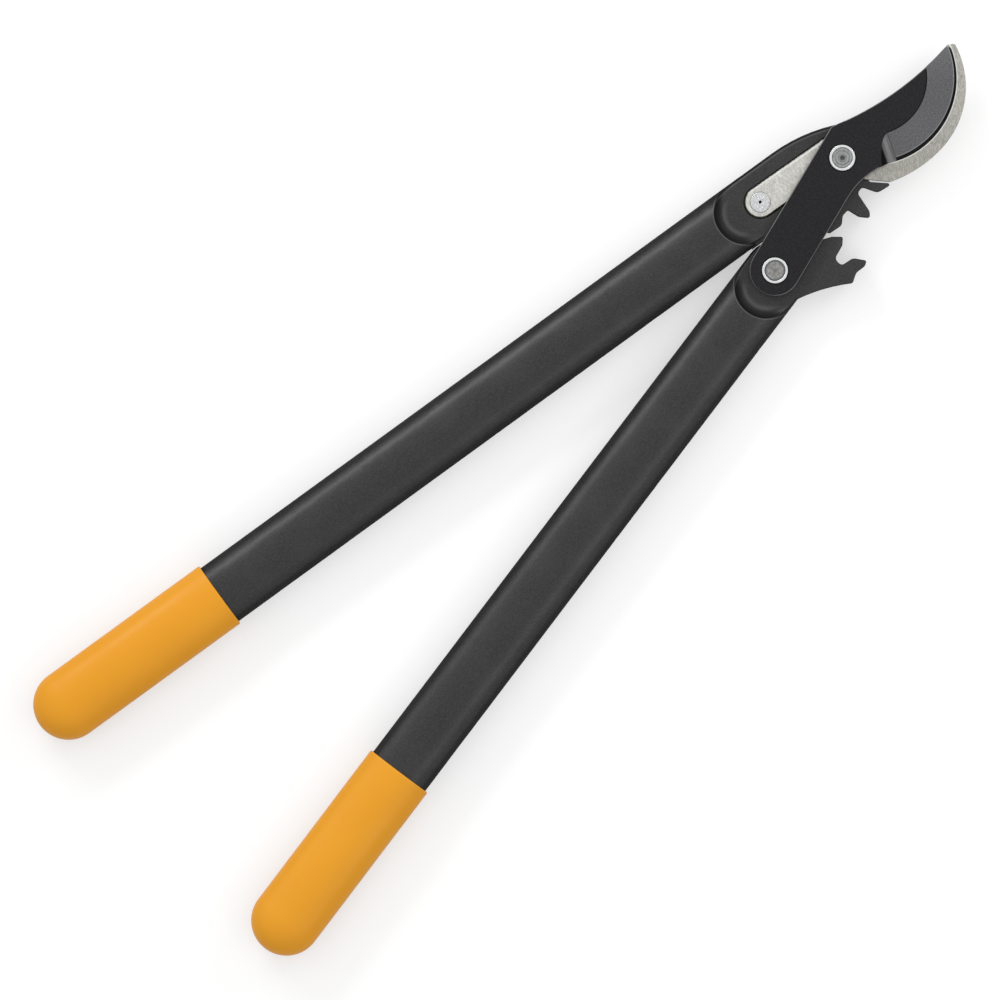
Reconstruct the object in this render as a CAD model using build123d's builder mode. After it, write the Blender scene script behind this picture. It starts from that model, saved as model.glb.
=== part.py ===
"""Geared bypass lopper, shut, lying flat with its front up.

Millimetres. +X points from the main pivot to the blade's tip, along the line that halves the angle
between the handles. +Y points to the upper handle and +Z to the viewer. The origin is on the main
pivot's axis, at the level of the floor that the tool lies on.
"""

import os
from math import acos, atan2, cos, degrees, radians, sin, sqrt, tan

from build123d import *

os.makedirs("parts", exist_ok=True)

# Pivots: the main one at the origin, the gear one in the blade's tail
PIVOT_SPACING = 80.0
PIVOT_LINE_ANGLE = 14.7
GEAR_RATIO = 0.87  # turn of the lower handle on the blade, per turn of the blade

# Handles: hollow oval tubes, each tilted to its own side of the tool's centre line
HANDLE_TILT = 8.44
HANDLE_BACK = 577.5
LOWER_HANDLE_FORWARD = 2.35  # how much further forward the lower grip and tube stand
TUBE_WIDTH = 39.9
TUBE_THICKNESS = 25.0
TUBE_WALL = 3.6
TUBE_OVERRUN = 4.17  # how far a tube runs on past the end of its scoop's rim
FLANK_DEPTH = 6.0  # how far in the oval of the tube is carried along the heads' sides
FLANK_MARGIN = 1.0
FLANK_TRIM = 0.05
FLANK_END_ANGLE = -75.0

# Grips: oval sleeves with a round end
GRIP_WIDTH = 43.2
GRIP_THICKNESS = 28.4
GRIP_SLEEVE = 114.0
GRIP_FIT = 0.1
GRIP_RIM_ROUND = 0.8

# Heads: flat plates that the tubes run out into through a scoop on each side
HEAD_FRONT = 4.8  # from the tube's middle plane
HEAD_REAR = 8.2
HEAD_EDGE = 0.35
HEAD_CORNER = 1.4
SCOOP_MARGIN = 0.05  # a scoop's radius over the tube's half width
SCOOP_BACK = 10.5
SCOOP_ROUND = 6.0
SCOOP_RIM_ROUND = 0.6
SCOOP_ARC = 62.0  # half of the round end, before its sides spread
SCOOP_SPREAD = 30.0
BORE_END_WALL = 6.0
UPPER_NOSE_RADIUS = 20.8
BROW_RADIUS = 105.0
LOWER_NOSE_RADIUS = 18.15
SHOULDER_GAP = 0.9
STOP_LENGTH = 7.0
STOP_CLEARANCE = 0.3
STOP_THICKNESS = 5.0
BOSS_RADIUS = 13.0

# Gear sectors: corners as (height over the pitch circle, angle from the line of pivots, rounding)
UPPER_ROLL_HEIGHT = 9.1
UPPER_ROLL_START = 0.5
UPPER_ROLL_END = 22.0
ROLL_GAP = 0.5
LOWER_ROLL_START = 1.3
LOWER_ROLL_END = 25.0
UPPER_TEETH = [
    (-2.6, 94.2, 1.0),
    (-6.7, 77.3, 4.5),
    (-15.8, 65.7, 2.7),
    (-13.7, 54.6, 2.5),
    (-0.6, 58.2, 4.5),
    (3.0, 55.9, 1.0),
    (0.1, 47.1, 5.0),
    (-5.3, 37.6, 1.3),
    (-2.1, 31.6, 3.0),
    (3.9, 30.6, 3.5),
]
LOWER_TEETH = [
    (-2.2, 28.5, 4.5),
    (3.6, 32.7, 1.2),
    (1.3, 38.6, 4.5),
    (-5.4, 47.9, 3.0),
    (-2.2, 54.9, 2.6),
    (5.5, 50.0, 4.5),
    (13.7, 52.9, 1.2),
    (12.2, 56.4, 3.0),
    (6.9, 60.7, 5.0),
    (5.4, 68.2, 1.3),
]
LOWER_HEEL_LAND = 0.5  # from the end of the scoop's rim to the heel
LOWER_BELLY = 1.45  # bulge of the edge from the last tooth to the heel

# Hook: the bright counter blade let into the upper head
HOOK_THICKNESS = 4.5
HOOK_DEPTH = 2.25  # how far its sole stands outside the cutting edge, before the shift
HOOK_SHIFT_BACK = 1.1
HOOK_SHIFT_DOWN = 6.0
HOOK_TIP_ANGLE = -15.7
HOOK_SOLE_END_ANGLE = -88.5
HOOK_HEEL_RADIUS = 80.0  # flatter curve of the sole towards the heel
HOOK_HEEL_SWEEP = 26.2
HOOK_HEEL_ROOT_RADIUS = 18.8
HOOK_HEEL_ANGLE_AT_BOSS = -88.5
HOOK_LAP = 2.8  # how far its inner edge lies inside the cutting edge
HOOK_BOSS_RADIUS = 13.9
HOOK_ARM_WIDTH = 19.4
HOOK_ARM_AIM_HEIGHT = 6.6
HOOK_RIVET_BACK = 56.2
HOOK_THROAT_ROUND = 6.0
HOOK_TIP_ROUND = 1.6
HOOK_EDGE = 0.3
HOOK_ARM_EDGE = 0.9
POCKET_CLEARANCE = 0.6
POCKET_MOUTH = 8.0
POCKET_MOUTH_TOP = 13.0

# Blade: a plate over both heads, with a bevel ground about the centre of its cutting edge
BLADE_THICKNESS = 5.0
BLADE_GAP = 0.15
BLADE_HALF_WIDTH = 15.4
BLADE_SIDE_CLEARANCE = 1.0
BLADE_SHOULDER_LENGTH = 13.0
BLADE_SHOULDER_ROUNDING = 4.5
BLADE_SPINE_RADIUS = 185.0
BLADE_WAIST_BACK = 18.6
BLADE_EDGE = 0.5
CUT_HEEL_FORWARD = 22.854  # where the cutting edge starts, from the main pivot
CUT_HEEL_DROP = 24.85633
CUT_RADIUS = 52.8
CUT_TIP_ANGLE = -20.0
CUT_HEEL_ANGLE = -116.0
CUT_TIP_ROUND = 2.6
CUT_LAND = 0.12  # thickness left at the very edge
BEVEL_WIDTH = 18.3
HONE_WIDTH = 1.4
HONE_HEIGHT = 0.75
GRIND_END_ANGLE = -115.8
GRIND_SWEEP = 130.0
GRIND_WHEEL = 14.5
GRIND_CLEAR = 12.0

# Pins, rings, rivet and washers
PIN_RADIUS = 6.3
PIN_PROUD = 0.7
PIN_EDGE = 0.3
PIN_HEAD_RADIUS = 10.0
PIN_HEAD_HEIGHT = 2.2
PIN_HEAD_EDGE = 0.5
RUNNING_CLEARANCE = 0.05
SEAT_CLEARANCE = 0.03
RING_RADIUS = 7.9
RING_HEIGHT = 0.95
RING_ROUND = 0.4
WASHER_RADIUS = 12.0
WASHER_THICKNESS = 1.2
AXIAL_PLAY = 0.1
SLEEVE_WALL = 2.0
THRUST_WASHER_RADIUS = 11.0
THRUST_WASHER_THICKNESS = 0.9
RIVET_SHANK = 3.5
RIVET_HEAD_RADIUS = 6.1
RIVET_HEAD_HEIGHT = 1.6
RIVET_PROUD = 0.5
RIVET_HEAD_CLEARANCE = 0.3
RIVET_DIMPLE = 0.9
RIVET_TAIL_RADIUS = 6.5
RIVET_TAIL_HEIGHT = 1.6
RIVET_WASHER_RADIUS = 9.0

# Levels above the floor
MIDDLE = GRIP_THICKNESS / 2
FLAT_FRONT = MIDDLE + HEAD_FRONT
FLAT_REAR = MIDDLE - HEAD_REAR
HEAD_THICKNESS = FLAT_FRONT - FLAT_REAR
POCKET_FLOOR = FLAT_FRONT - HOOK_THICKNESS
BLADE_BACK = FLAT_FRONT + BLADE_GAP
BLADE_FRONT = BLADE_BACK + BLADE_THICKNESS
WASHER_TOP = PIN_HEAD_HEIGHT + WASHER_THICKNESS
BOSS_FACE = WASHER_TOP + AXIAL_PLAY
PIN_TOP = BLADE_FRONT + PIN_PROUD
RING_FOOT = BLADE_FRONT + AXIAL_PLAY
RIVET_SEAT = FLAT_FRONT + RIVET_PROUD - RIVET_HEAD_HEIGHT
RIVET_TAIL_FACE = FLAT_REAR - WASHER_THICKNESS - RIVET_TAIL_HEIGHT
THRUST_SEAT = FLAT_FRONT + BLADE_GAP - AXIAL_PLAY - THRUST_WASHER_THICKNESS

TUBE_HALF = TUBE_WIDTH / 2
SCOOP_RADIUS = TUBE_HALF + SCOOP_MARGIN
PIN_BORE = PIN_RADIUS + RUNNING_CLEARANCE
SLEEVE_RADIUS = PIN_BORE + SLEEVE_WALL
UPPER_PITCH = PIVOT_SPACING * GEAR_RATIO / (1 + GEAR_RATIO)
LOWER_PITCH = PIVOT_SPACING - UPPER_PITCH
UPPER_ROLL = UPPER_PITCH + UPPER_ROLL_HEIGHT
LOWER_ROLL = PIVOT_SPACING - UPPER_ROLL - ROLL_GAP
HOOK_RADIUS = CUT_RADIUS + HOOK_DEPTH


def polar(centre, radius, angle):
    """Point at a radius and an angle, in degrees, about a centre in plan."""
    return Vector(centre) + Vector(radius * cos(radians(angle)), radius * sin(radians(angle)))


def bearing(vector):
    """Direction of a vector in plan, in degrees."""
    return degrees(atan2(vector.Y, vector.X))


# Places in plan
MAIN_PIVOT = Vector(0, 0)
GEAR_PIVOT = polar(MAIN_PIVOT, PIVOT_SPACING, 180 + PIVOT_LINE_ANGLE)
CUT_CENTRE = polar((CUT_HEEL_FORWARD, -CUT_HEEL_DROP), -CUT_RADIUS, CUT_HEEL_ANGLE)
HOOK_CENTRE = CUT_CENTRE - Vector(HOOK_SHIFT_BACK, HOOK_SHIFT_DOWN)


def handle_plane(tilt, through, ahead=0):
    """Plan frame of a handle: X forward along its axis, from ahead of the main pivot's level."""
    forward = Vector(cos(radians(tilt)), sin(radians(tilt)))
    start = through + forward * ((MAIN_PIVOT - through).dot(forward) + ahead)
    return Plane(start, x_dir=forward, z_dir=(0, 0, 1))


# The upper tube's side and the lower head's nose face each other across the shoulder gap
upper_axis = handle_plane(
    -HANDLE_TILT,
    polar(GEAR_PIVOT, LOWER_NOSE_RADIUS + SHOULDER_GAP + TUBE_HALF, 90 - HANDLE_TILT),
)
lower_axis = handle_plane(
    HANDLE_TILT,
    polar(GEAR_PIVOT, LOWER_NOSE_RADIUS - TUBE_HALF, 90 + HANDLE_TILT),
    LOWER_HANDLE_FORWARD,
)
HOOK_RIVET = upper_axis.from_local_coords((-HOOK_RIVET_BACK, 0))
UPPER_SCOOP = -HOOK_RIVET_BACK - SCOOP_BACK
LOWER_SCOOP = lower_axis.to_local_coords(GEAR_PIVOT).X - SCOOP_BACK

# How far in front of its centre a scoop's foot runs off the tube's side
scoop_foot = SCOOP_RADIUS - SCOOP_ROUND
rim_across = TUBE_HALF * sqrt(1 - (2 * HEAD_FRONT / TUBE_THICKNESS) ** 2)
rim_past_arc = (rim_across - scoop_foot * sin(radians(SCOOP_ARC))) * tan(radians(SCOOP_ARC))
rim_run = rim_past_arc - scoop_foot * cos(radians(SCOOP_ARC))


def on(axis, along, across):
    """Plan point beside a handle's axis."""
    return axis.from_local_coords((along, across))


def cross_section(axis, along):
    """Plane square to a handle's axis, with X across the tool and Y up."""
    centre = axis.from_local_coords((along, 0, MIDDLE))
    return Plane(centre, x_dir=axis.y_dir, z_dir=axis.x_dir)


def scoop_tool(axis, along, level, outward):
    """Round-ended tool that clears the tube off one side of the head's flat plate."""
    place = Plane(axis.from_local_coords((along, 0, level)), x_dir=axis.x_dir, z_dir=(0, 0, outward))
    with BuildPart() as tool:
        with BuildSketch(place):
            with BuildLine():
                end = CenterArc((0, 0), SCOOP_RADIUS, 180 - SCOOP_ARC, 2 * SCOOP_ARC)
                near_side = Line(end @ 0, end @ 0 - (end % 0) * SCOOP_SPREAD)
                far_side = Line(end @ 1, end @ 1 + (end % 1) * SCOOP_SPREAD)
                Line(near_side @ 1, far_side @ 1)
            make_face()
        extrude(amount=TUBE_THICKNESS)
        floor = tool.faces().sort_by(Axis(place.origin, place.z_dir))[0]
        wall_foot = floor.edges().sort_by(Axis(place.origin, place.x_dir))[:3]
        fillet(wall_foot, SCOOP_ROUND)
    return tool.part


def oval_tube(axis, front):
    """Adds a handle's tube, from the floor of its grip to inside its head."""
    with BuildSketch(cross_section(axis, -HANDLE_BACK)) as section:
        Ellipse(TUBE_HALF, TUBE_THICKNESS / 2)
    extrude(section.sketch, amount=HANDLE_BACK + front)


def hollow(axis, front):
    """Cuts a handle's hollow, open at the grip and blind before the scoop."""
    with BuildSketch(cross_section(axis, -HANDLE_BACK)) as section:
        Ellipse(TUBE_HALF - TUBE_WALL, TUBE_THICKNESS / 2 - TUBE_WALL)
    extrude(section.sketch, amount=HANDLE_BACK + front, mode=Mode.SUBTRACT)


def soften_scoops(handle):
    """Rounds the rims that the front and rear scoops leave on a handle's tube."""
    rims = handle.edges().filter_by(GeomType.BSPLINE).sort_by(Axis.Z)
    fillet([rims[0], rims[-1]], SCOOP_RIM_ROUND)


def oval_flank(axis, start, side, path):
    """Cuts a head's side back to the tube's oval, along a path that starts beside the tube."""
    with BuildSketch(cross_section(axis, start)) as outside:
        with Locations((side * (TUBE_HALF + (FLANK_MARGIN - FLANK_DEPTH) / 2), 0)):
            Rectangle(FLANK_DEPTH + FLANK_MARGIN, TUBE_THICKNESS)
        Ellipse(TUBE_HALF - FLANK_TRIM, TUBE_THICKNESS / 2, mode=Mode.SUBTRACT)
    sweep(outside.sketch, path=path, mode=Mode.SUBTRACT)


def teeth(pivot, pitch, line_angle, turn, corners):
    """Plan points of a gear sector's corners, and their roundings."""
    points = [polar(pivot, pitch + height, line_angle + turn * angle) for height, angle, _ in corners]
    return points, [rounding for _, _, rounding in corners]


def boss(pivot):
    """Adds the round boss on a head's rear that its washer runs on."""
    disc(pivot, BOSS_RADIUS, BOSS_FACE, FLAT_REAR)


def round_cut(centre, radius, low, high):
    """Cuts an upright round hole between two levels."""
    with BuildSketch(Plane.XY.offset(low)) as section:
        with Locations(centre):
            Circle(radius)
    extrude(section.sketch, amount=high - low, mode=Mode.SUBTRACT)


def disc(centre, radius, low, high, bore=0):
    """Adds an upright disc between two levels, with a bore if one is given."""
    with BuildSketch(Plane.XY.offset(low)) as section:
        with Locations(centre):
            Circle(radius)
            if bore:
                Circle(bore, mode=Mode.SUBTRACT)
    extrude(section.sketch, amount=high - low)


def grip(axis):
    """Adds a grip: an oval sleeve with a round end, bored to the tube that seats in it."""
    place = cross_section(axis, -HANDLE_BACK)
    with BuildSketch(place) as section:
        Ellipse(GRIP_WIDTH / 2, GRIP_THICKNESS / 2)
    with BuildSketch(place) as half_section:
        Ellipse(GRIP_WIDTH / 2, GRIP_THICKNESS / 2)
        Rectangle(GRIP_WIDTH, GRIP_THICKNESS, align=(Align.MAX, Align.CENTER), mode=Mode.SUBTRACT)
    with BuildSketch(place) as bore:
        Ellipse(TUBE_HALF + GRIP_FIT, TUBE_THICKNESS / 2 + GRIP_FIT)
    sleeve = extrude(section.sketch, amount=GRIP_SLEEVE)
    rim = sleeve.edges().sort_by(Axis(axis.origin, axis.x_dir))[-1]
    fillet(rim, GRIP_RIM_ROUND)
    revolve(half_section.sketch, axis=Axis(place.origin, (0, 0, 1)), revolution_arc=180)
    extrude(bore.sketch, amount=GRIP_SLEEVE, mode=Mode.SUBTRACT)


def save(builder, name):
    """Labels a finished piece and writes its STEP file."""
    builder.part.label = name
    export_step(builder.part, f"parts/{name}.step")


# Outlines of the hook in plan: its jaw with a boss round the main pivot, and its arm to the rivet
hook_inner = CUT_RADIUS - HOOK_LAP
hook_heel_root = polar(MAIN_PIVOT, HOOK_HEEL_ROOT_RADIUS, HOOK_HEEL_ANGLE_AT_BOSS)
centre_reach = CUT_CENTRE.length
throat_along = (HOOK_BOSS_RADIUS**2 - hook_inner**2 + centre_reach**2) / (2 * centre_reach)
throat_swing = degrees(acos(throat_along / HOOK_BOSS_RADIUS))
hook_throat = polar(MAIN_PIVOT, HOOK_BOSS_RADIUS, bearing(CUT_CENTRE) - throat_swing)
arm_run = Vector(0, HOOK_ARM_AIM_HEIGHT) - HOOK_RIVET

with BuildSketch() as hook_jaw:
    with BuildLine():
        sole = CenterArc(HOOK_CENTRE, HOOK_RADIUS, HOOK_TIP_ANGLE, HOOK_SOLE_END_ANGLE - HOOK_TIP_ANGLE)
        heel_sole = JernArc(sole @ 1, sole % 1, HOOK_HEEL_RADIUS, -HOOK_HEEL_SWEEP)
        Polyline(heel_sole @ 1, hook_heel_root, MAIN_PIVOT, hook_throat)
        throat_bearing = bearing(hook_throat - CUT_CENTRE)
        inner_edge = CenterArc(CUT_CENTRE, hook_inner, throat_bearing, CUT_TIP_ANGLE - throat_bearing)
        Line(inner_edge @ 1, sole @ 0)
    make_face()
    fillet(hook_jaw.vertices().sort_by(Axis.X)[-2:], HOOK_TIP_ROUND)
    Circle(HOOK_BOSS_RADIUS)
    fillet(hook_jaw.vertices().sort_by_distance(hook_throat)[0], HOOK_THROAT_ROUND)

with BuildSketch() as hook_arm:
    with Locations(Location(HOOK_RIVET + arm_run / 2, bearing(arm_run))):
        SlotCenterToCenter(arm_run.length, HOOK_ARM_WIDTH)

# Upper handle: tube, scooped head with the hook's pocket, gear sector and closing stop
upper_front_scoop = scoop_tool(upper_axis, UPPER_SCOOP, FLAT_FRONT, 1)
upper_rear_scoop = scoop_tool(upper_axis, UPPER_SCOOP, FLAT_REAR, -1)
upper_points, upper_rounds = teeth(MAIN_PIVOT, UPPER_PITCH, 180 + PIVOT_LINE_ANGLE, 1, UPPER_TEETH)
upper_roll_start = 180 + PIVOT_LINE_ANGLE + UPPER_ROLL_START
upper_roll_end = 180 + PIVOT_LINE_ANGLE + UPPER_ROLL_END
shoulder = LOWER_NOSE_RADIUS + SHOULDER_GAP
stop_along = upper_axis.to_local_coords(GEAR_PIVOT).X
roll_corner = polar(MAIN_PIVOT, UPPER_ROLL, upper_roll_start)
corner_bearing = bearing(roll_corner - GEAR_PIVOT)
shoulder_end = corner_bearing + degrees(acos(shoulder / (roll_corner - GEAR_PIVOT).length))

# The brow is the arc that leaves the upper tube's side and runs into the round nose
main_local = upper_axis.to_local_coords(MAIN_PIVOT)
brow_level = TUBE_HALF - BROW_RADIUS
brow_reach = sqrt((BROW_RADIUS - UPPER_NOSE_RADIUS) ** 2 - (main_local.Y - brow_level) ** 2)
brow_along = main_local.X - brow_reach
brow_centre = on(upper_axis, brow_along, brow_level)
nose_top = bearing(MAIN_PIVOT - brow_centre)

with BuildPart() as upper_handle:
    with BuildSketch(Plane.XY.offset(FLAT_REAR)) as upper_plate:
        with BuildLine():
            upper_side = Line(on(upper_axis, stop_along, TUBE_HALF), on(upper_axis, brow_along, TUBE_HALF))
            CenterArc(brow_centre, BROW_RADIUS, 90 - HANDLE_TILT, nose_top - 90 + HANDLE_TILT)
            nose = CenterArc(MAIN_PIVOT, UPPER_NOSE_RADIUS, nose_top, HOOK_HEEL_ANGLE_AT_BOSS - nose_top)
            roll = CenterArc(MAIN_PIVOT, UPPER_ROLL, upper_roll_start, UPPER_ROLL_END - UPPER_ROLL_START)
            FilletPolyline(nose @ 1, *upper_points, roll @ 1, radius=upper_rounds)
            saddle = CenterArc(GEAR_PIVOT, shoulder, 90 - HANDLE_TILT, shoulder_end - 90 + HANDLE_TILT)
            Line(roll @ 0, saddle @ 1)
            ThreePointArc(saddle @ 0, on(upper_axis, stop_along - TUBE_HALF, 0), upper_side @ 0)
        make_face()
        for corner in (nose @ 1, roll @ 0, roll @ 1):
            fillet(upper_plate.vertices().sort_by_distance(corner)[0], HEAD_CORNER)
    extrude(amount=HEAD_THICKNESS)
    rims = upper_handle.faces().filter_by(Axis.Z).edges()
    chamfer(rims, HEAD_EDGE)
    with BuildLine(Plane.XY.offset(MIDDLE)) as upper_flank:
        Line(on(upper_axis, stop_along - TUBE_HALF, TUBE_HALF), on(upper_axis, brow_along, TUBE_HALF))
        CenterArc(brow_centre, BROW_RADIUS, 90 - HANDLE_TILT, nose_top - 90 + HANDLE_TILT)
        CenterArc(MAIN_PIVOT, UPPER_NOSE_RADIUS, nose_top, FLANK_END_ANGLE - nose_top)
    oval_flank(upper_axis, stop_along - TUBE_HALF, 1, upper_flank.line)
    with BuildLine(Plane.XY.offset(MIDDLE)) as saddle_flank:
        Line(on(upper_axis, stop_along - TUBE_HALF, -TUBE_HALF), on(upper_axis, stop_along, -TUBE_HALF))
    oval_flank(upper_axis, stop_along - TUBE_HALF, -1, saddle_flank.line)
    oval_tube(upper_axis, UPPER_SCOOP + rim_run + TUBE_OVERRUN)
    add(upper_front_scoop, mode=Mode.SUBTRACT)
    add(upper_rear_scoop, mode=Mode.SUBTRACT)
    soften_scoops(upper_handle)
    hollow(upper_axis, UPPER_SCOOP - SCOOP_RADIUS - BORE_END_WALL)
    with BuildSketch(Plane.XY.offset(FLAT_FRONT)):
        with Locations(Location((MAIN_PIVOT + GEAR_PIVOT) / 2, PIVOT_LINE_ANGLE)):
            SlotCenterToCenter(PIVOT_SPACING, 2 * (BLADE_HALF_WIDTH + BLADE_SIDE_CLEARANCE))
    extrude(amount=TUBE_THICKNESS, mode=Mode.SUBTRACT)
    boss(MAIN_PIVOT)
    stop_centre = upper_axis.from_local_coords((stop_along, -TUBE_HALF, MIDDLE))
    with BuildSketch(Plane(stop_centre, x_dir=upper_axis.x_dir)):
        Rectangle(STOP_LENGTH, 2 * (SHOULDER_GAP - STOP_CLEARANCE))
    extrude(amount=STOP_THICKNESS / 2, both=True)
    with BuildSketch(Plane.XY.offset(POCKET_FLOOR)):
        add(hook_jaw.sketch)
        add(hook_arm.sketch)
        offset(amount=POCKET_CLEARANCE, kind=Kind.ARC)
        with Locations((POCKET_MOUTH, POCKET_MOUTH_TOP)):
            Rectangle(UPPER_NOSE_RADIUS, 2 * UPPER_NOSE_RADIUS, align=(Align.MIN, Align.MAX))
    extrude(amount=2 * HOOK_THICKNESS, mode=Mode.SUBTRACT)
    round_cut(MAIN_PIVOT, SLEEVE_RADIUS + SEAT_CLEARANCE, BOSS_FACE, FLAT_FRONT)
    round_cut(HOOK_RIVET, RIVET_SHANK + SEAT_CLEARANCE, FLAT_REAR, FLAT_FRONT)
save(upper_handle, "upper_handle")

with BuildPart() as upper_grip:
    grip(upper_axis)
save(upper_grip, "upper_grip")

# Lower handle: tube, scooped head that turns on the gear pivot, and its gear sector
lower_front_scoop = scoop_tool(lower_axis, LOWER_SCOOP, FLAT_FRONT, 1)
lower_rear_scoop = scoop_tool(lower_axis, LOWER_SCOOP, FLAT_REAR, -1)
lower_points, lower_rounds = teeth(GEAR_PIVOT, LOWER_PITCH, PIVOT_LINE_ANGLE, -1, LOWER_TEETH)
lower_roll_start = PIVOT_LINE_ANGLE - LOWER_ROLL_START
nose_end = lower_roll_start + degrees(acos(LOWER_NOSE_RADIUS / LOWER_ROLL))

with BuildPart() as lower_handle:
    with BuildSketch(Plane.XY.offset(FLAT_REAR)) as lower_plate:
        with BuildLine():
            nose_start = 90 + HANDLE_TILT
            lower_nose = CenterArc(GEAR_PIVOT, LOWER_NOSE_RADIUS, nose_start, nose_end - nose_start)
            lower_roll = CenterArc(
                GEAR_PIVOT, LOWER_ROLL, lower_roll_start, LOWER_ROLL_START - LOWER_ROLL_END
            )
            Line(lower_nose @ 1, lower_roll @ 0)
            heel = on(lower_axis, LOWER_SCOOP + rim_run + LOWER_HEEL_LAND, -TUBE_HALF)
            FilletPolyline(lower_roll @ 1, *lower_points, radius=lower_rounds[:-1])
            SagittaArc(lower_points[-1], heel, -LOWER_BELLY)
            lower_side = Line(heel, on(lower_axis, LOWER_SCOOP, -TUBE_HALF))
            back = ThreePointArc(
                lower_side @ 1,
                on(lower_axis, LOWER_SCOOP - TUBE_HALF, 0),
                on(lower_axis, LOWER_SCOOP, TUBE_HALF),
            )
            Line(back @ 1, lower_nose @ 0)
        make_face()
        for corner in (lower_roll @ 0, lower_roll @ 1):
            fillet(lower_plate.vertices().sort_by_distance(corner)[0], HEAD_CORNER)
        fillet(lower_plate.vertices().sort_by_distance(lower_points[-1])[0], lower_rounds[-1])
    extrude(amount=HEAD_THICKNESS)
    lower_rims = lower_handle.faces().filter_by(Axis.Z).edges()
    chamfer(lower_rims, HEAD_EDGE)
    with BuildLine(Plane.XY.offset(MIDDLE)) as lower_flank:
        Line(on(lower_axis, LOWER_SCOOP - TUBE_HALF, TUBE_HALF), lower_nose @ 0)
        CenterArc(GEAR_PIVOT, LOWER_NOSE_RADIUS, nose_start, nose_end - nose_start)
    oval_flank(lower_axis, LOWER_SCOOP - TUBE_HALF, 1, lower_flank.line)
    with BuildLine(Plane.XY.offset(MIDDLE)) as heel_flank:
        Line(on(lower_axis, LOWER_SCOOP - TUBE_HALF, -TUBE_HALF), heel)
    oval_flank(lower_axis, LOWER_SCOOP - TUBE_HALF, -1, heel_flank.line)
    oval_tube(lower_axis, LOWER_SCOOP + rim_run + TUBE_OVERRUN)
    add(lower_front_scoop, mode=Mode.SUBTRACT)
    add(lower_rear_scoop, mode=Mode.SUBTRACT)
    soften_scoops(lower_handle)
    hollow(lower_axis, LOWER_SCOOP - SCOOP_RADIUS - BORE_END_WALL)
    boss(GEAR_PIVOT)
    round_cut(GEAR_PIVOT, SLEEVE_RADIUS + SEAT_CLEARANCE, BOSS_FACE, FLAT_FRONT)
    round_cut(GEAR_PIVOT, THRUST_WASHER_RADIUS + SEAT_CLEARANCE, THRUST_SEAT, FLAT_FRONT)
save(lower_handle, "lower_handle")

with BuildPart() as lower_grip:
    grip(lower_axis)
save(lower_grip, "lower_grip")

# Hook: jaw and bevelled arm let into the pocket, counterbored for the rivet
with BuildPart() as hook_arm_bar:
    with BuildSketch(Plane.XY.offset(POCKET_FLOOR)):
        add(hook_arm.sketch)
    extrude(amount=HOOK_THICKNESS)
    chamfer(hook_arm_bar.faces().sort_by(Axis.Z)[-1].edges(), HOOK_ARM_EDGE)

with BuildPart() as hook:
    with BuildSketch(Plane.XY.offset(POCKET_FLOOR)):
        add(hook_jaw.sketch)
    extrude(amount=HOOK_THICKNESS)
    chamfer(hook.faces().sort_by(Axis.Z)[-1].edges(), HOOK_EDGE)
    add(hook_arm_bar.part)
    round_cut(MAIN_PIVOT, PIN_BORE, POCKET_FLOOR, FLAT_FRONT)
    round_cut(HOOK_RIVET, RIVET_SHANK + SEAT_CLEARANCE, POCKET_FLOOR, FLAT_FRONT)
    round_cut(HOOK_RIVET, RIVET_HEAD_RADIUS + RIVET_HEAD_CLEARANCE, RIVET_SEAT, FLAT_FRONT)
save(hook, "hook")

# Blade: round tail on the gear pivot, straight sides, shoulder, hollow spine and curved cutting edge
blade_run = Vector(cos(radians(PIVOT_LINE_ANGLE)), sin(radians(PIVOT_LINE_ANGLE)))
blade_side = Vector(-blade_run.Y, blade_run.X) * BLADE_HALF_WIDTH
blade_shoulder = MAIN_PIVOT + blade_side + blade_run * BLADE_SHOULDER_LENGTH
blade_waist = MAIN_PIVOT - blade_side - blade_run * BLADE_WAIST_BACK
bevel_start = CUT_RADIUS - BEVEL_WIDTH
hone_start = CUT_RADIUS - HONE_WIDTH

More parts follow.
